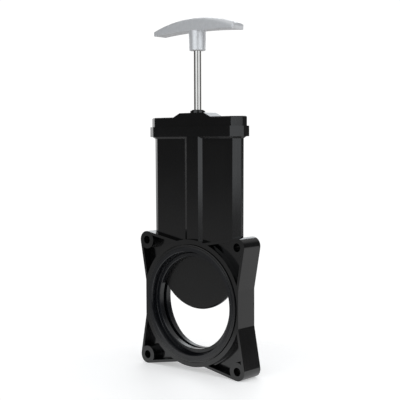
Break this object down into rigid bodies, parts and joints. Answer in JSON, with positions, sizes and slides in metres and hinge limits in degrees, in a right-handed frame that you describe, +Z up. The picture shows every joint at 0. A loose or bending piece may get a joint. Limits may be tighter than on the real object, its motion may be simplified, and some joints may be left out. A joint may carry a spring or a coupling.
{
  "type": "knife gate valve",
  "caption": "Manual slide gate valve for waste pipe: flat blade in a black moulded body with a lugged flange, rubber ring seals, polished stem and cast T-handle.",
  "frame": {"origin": "centre of the bore on the mid-plane between the two flange faces", "axes": "+X across the width, +Y along the bore (the picture's near face is at -Y), +Z up along the stem"},
  "size_m": [0.1132, 0.0242, 0.2889],
  "materials": {
    "body_plastic": "moulded black ABS, satin to semi-gloss",
    "ring_plastic": "moulded black, satin",
    "blade_plastic": "matt black moulded sheet",
    "seal_rubber": "smooth lubricated rubber",
    "wiper_rubber": "smooth rubber",
    "stainless": "polished stainless rod",
    "cast_aluminium": "satin cast aluminium",
    "black_steel": "black oxide",
    "acetal": "natural acetal"
  },
  "bodies": {
    "housing": {"valve_body": "body_plastic", "bonnet_cap": "body_plastic", "cap_seal": "seal_rubber", "front_seal": "seal_rubber", "rear_seal": "seal_rubber", "front_seal_retainer": "ring_plastic", "rear_seal_retainer": "ring_plastic", "gland_bush": "acetal", "oring_spacer": "acetal", "lower_stem_oring": "seal_rubber", "upper_stem_oring": "seal_rubber", "wiper_ring": "wiper_rubber"},
    "gate": {"gate_blade": "blade_plastic"},
    "stem_and_handle": {"stem": "stainless", "stem_nut": "stainless", "thrust_washer": "stainless", "handle": "cast_aluminium", "handle_set_screw": "black_steel"}
  },
  "joints": [
    {"name": "gate_slide", "type": "slide", "parent": "housing", "child": "gate", "axis": [0, 0, 1], "range_m": [-0.0383, 0.0459]},
    {"name": "handle_spin", "type": "hinge", "parent": "gate", "child": "stem_and_handle", "pos_m": [0, 0, 0.2], "axis": [0, 0, 1], "continuous": true}
  ]
}
